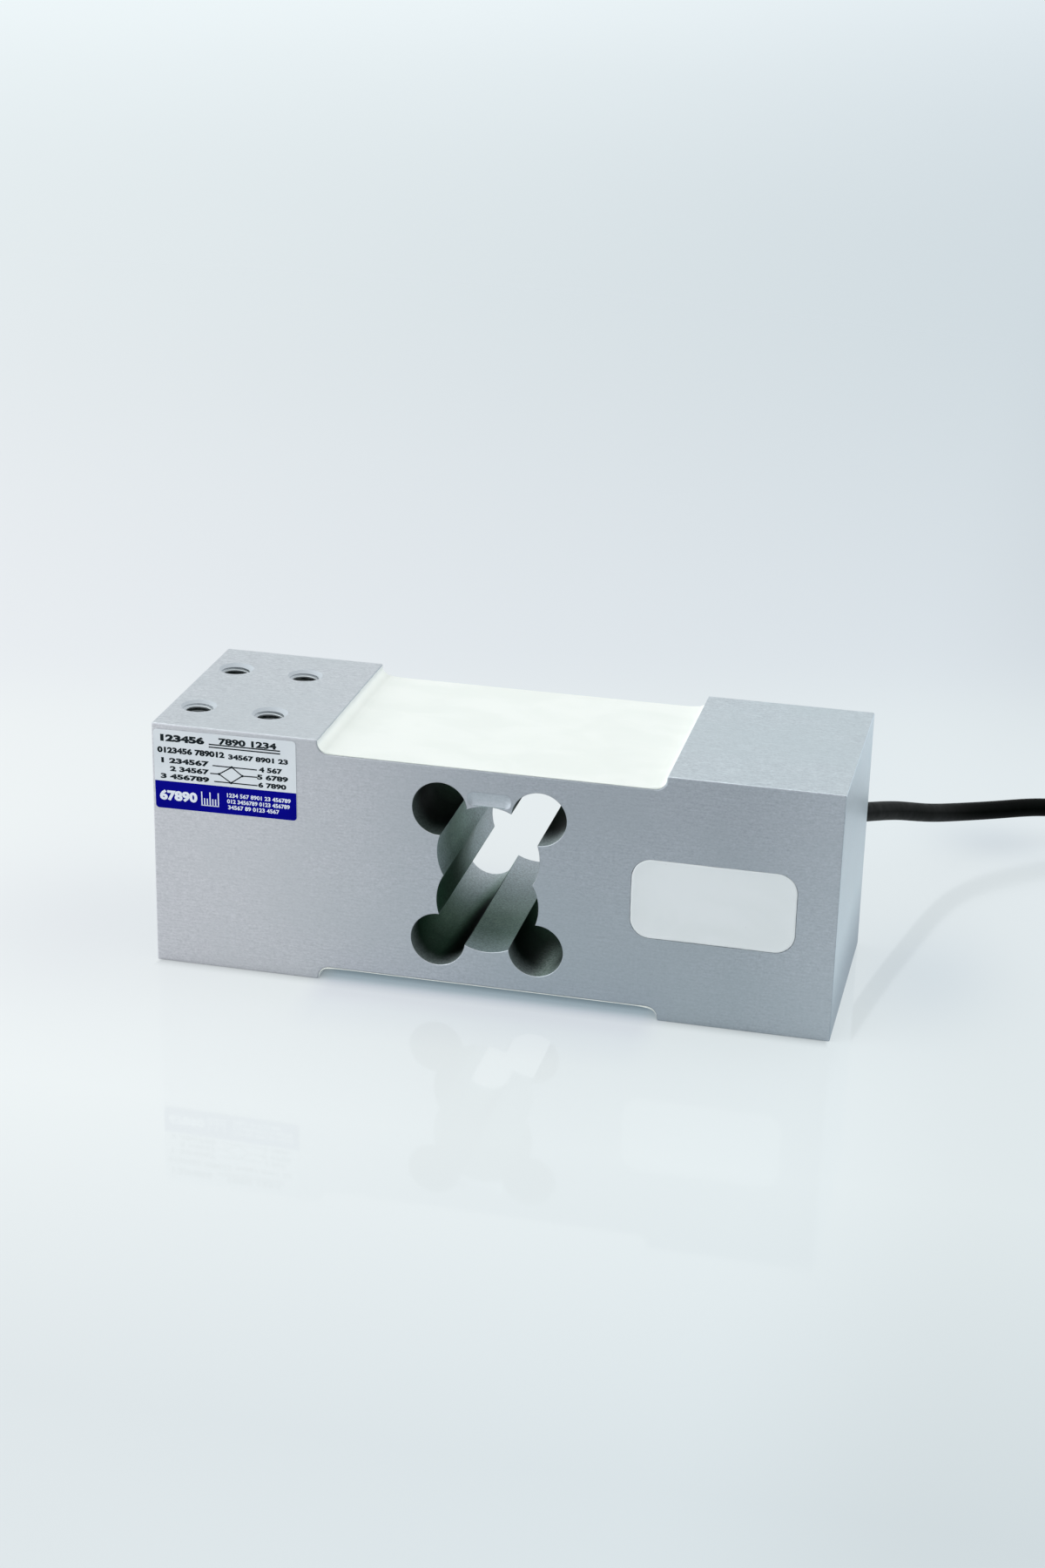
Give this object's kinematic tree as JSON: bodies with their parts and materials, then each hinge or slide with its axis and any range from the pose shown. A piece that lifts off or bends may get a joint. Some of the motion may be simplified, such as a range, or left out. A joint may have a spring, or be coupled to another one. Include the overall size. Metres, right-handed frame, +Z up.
{
  "type": "strain gauge load cell",
  "caption": "Single-point load cell: an aluminium bending block with merged cross bores, gauges sealed under white silicone, threaded pads and a coiled black cable.",
  "frame": {"origin": "centre of the underside of the aluminium block, level with the surface it stands on", "axes": "+X along the block towards the end where the cable leaves, +Y towards the rear face with the cable entry, +Z up, from the fixed underside towards the load pad"},
  "size_m": [0.3258, 0.1595, 0.0655],
  "materials": {
    "aluminium": "satin clear-anodised with fine grain",
    "silicone": "smooth matte, slightly wavy",
    "label_film": "satin film, white field over a blue band",
    "cable_jacket": "satin extruded jacket",
    "boot_rubber": "matte moulded",
    "tie_nylon": "satin moulded",
    "sleeve_shrink": "satin, slightly ribbed",
    "tinned_copper": "twisted tinned strands",
    "gauge_foil": "amber film with a foil grid",
    "enamelled_wire": "enamelled, glossy",
    "board_laminate": "laminate with pads",
    "resistor_foil": "film with a foil grid",
    "resistor_body": "moulded",
    "core_red": "satin insulation, tinned bare tip",
    "core_black": "satin insulation, tinned bare tip",
    "core_green": "satin insulation, tinned bare tip",
    "core_white": "satin insulation, tinned bare tip",
    "core_blue": "satin insulation, tinned bare tip",
    "core_yellow": "satin insulation, tinned bare tip"
  },
  "bodies": {
    "root": {"spring_body": "aluminium", "top_coating": "silicone", "bottom_coating": "silicone", "pocket_potting": "silicone", "rating_label": "label_film", "cable_jacket": "cable_jacket", "cable_inner_run": "cable_jacket", "cable_coil": "cable_jacket", "cable_tail": "cable_jacket", "cable_boot": "boot_rubber", "coil_tie": "tie_nylon", "pull_stop_tie": "tie_nylon", "end_sleeve": "sleeve_shrink", "shield_wire_end": "tinned_copper", "compensation_board": "board_laminate", "span_resistor_upper": "resistor_foil", "span_resistor_lower": "resistor_foil", "zero_resistor": "resistor_body", "strain_gauge_top_left": "gauge_foil", "gauge_leads_top_left": "enamelled_wire", "strain_gauge_top_right": "gauge_foil", "gauge_leads_top_right": "enamelled_wire", "strain_gauge_bottom_left": "gauge_foil", "gauge_leads_bottom_left": "enamelled_wire", "strain_gauge_bottom_right": "gauge_foil", "gauge_leads_bottom_right": "enamelled_wire", "core_red_end": "core_red", "core_red_inner": "core_red", "core_black_end": "core_black", "core_black_inner": "core_black", "core_green_end": "core_green", "core_green_inner": "core_green", "core_white_end": "core_white", "core_white_inner": "core_white", "core_blue_end": "core_blue", "core_blue_inner": "core_blue", "core_yellow_end": "core_yellow", "core_yellow_inner": "core_yellow"}
  },
  "joints": []
}
